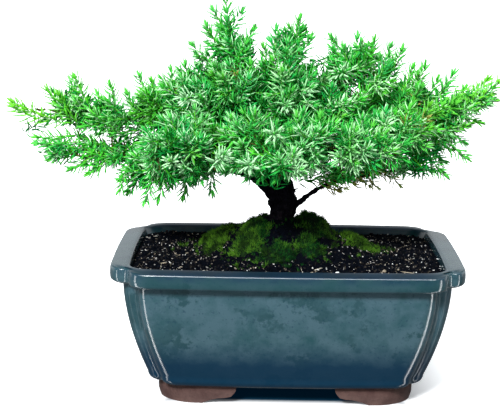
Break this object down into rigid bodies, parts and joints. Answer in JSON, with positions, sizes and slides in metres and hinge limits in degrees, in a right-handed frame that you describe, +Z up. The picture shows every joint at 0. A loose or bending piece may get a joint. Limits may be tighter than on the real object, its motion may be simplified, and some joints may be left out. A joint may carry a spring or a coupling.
{
  "type": "bonsai tree in a pot",
  "caption": "Dwarf juniper bonsai with a short dark trunk and spreading pads of needles, in a rectangular glazed pot with notched corners and bracket feet.",
  "frame": {"origin": "centre of the bounding box's base, on the surface that the pot's feet stand on", "axes": "+X to the right along the crown's and the pot's length, +Y from the front to the back, +Z up"},
  "size_m": [0.291, 0.176, 0.2304],
  "materials": {
    "glaze": "mottled blue-grey gloss glaze, bare red-brown clay on the feet",
    "soil": "dark gritty potting mix of bark and peat with white grit",
    "moss": "soft green cushion moss",
    "bark": "rough dark bark",
    "needles": "satin green needles with pale bands",
    "screen": "black moulded mesh",
    "wire": "dull drawn wire"
  },
  "bodies": {
    "root": {"drain_screen_left": "screen", "drain_screen_right": "screen", "foliage_apex": "needles", "foliage_apex_tip": "needles", "foliage_centre_left": "needles", "foliage_centre_right": "needles", "foliage_crest": "needles", "foliage_crest_tip": "needles", "foliage_front": "needles", "foliage_front_left": "needles", "foliage_front_right": "needles", "foliage_left_crest": "needles", "foliage_left_inner": "needles", "foliage_left_inner_low": "needles", "foliage_left_low": "needles", "foliage_left_low_tip": "needles", "foliage_left_middle": "needles", "foliage_left_outer": "needles", "foliage_left_tip": "needles", "foliage_left_under": "needles", "foliage_rear": "needles", "foliage_rear_centre_left": "needles", "foliage_rear_centre_right": "needles", "foliage_rear_left": "needles", "foliage_rear_right": "needles", "foliage_right_front": "needles", "foliage_right_low": "needles", "foliage_right_outer": "needles", "foliage_right_tip": "needles", "foliage_right_under": "needles", "foliage_right_upper": "needles", "foliage_shoulder": "needles", "foliage_shoulder_end": "needles", "foliage_shoulder_low": "needles", "limb_crest": "bark", "limb_front": "bark", "limb_front_left": "bark", "limb_front_right": "bark", "limb_left_high": "bark", "limb_left_low": "bark", "limb_rear": "bark", "limb_rear_left": "bark", "limb_rear_right": "bark", "limb_right_high": "bark", "limb_right_low": "bark", "limb_shoulder": "bark", "moss_front": "moss", "moss_front_right": "moss", "moss_left": "moss", "moss_left_front": "moss", "moss_rear": "moss", "moss_right": "moss", "moss_slope_left": "moss", "moss_slope_right": "moss", "pot": "glaze", "screen_staple_left": "wire", "screen_staple_right": "wire", "soil": "soil", "trunk": "bark"}
  },
  "joints": []
}
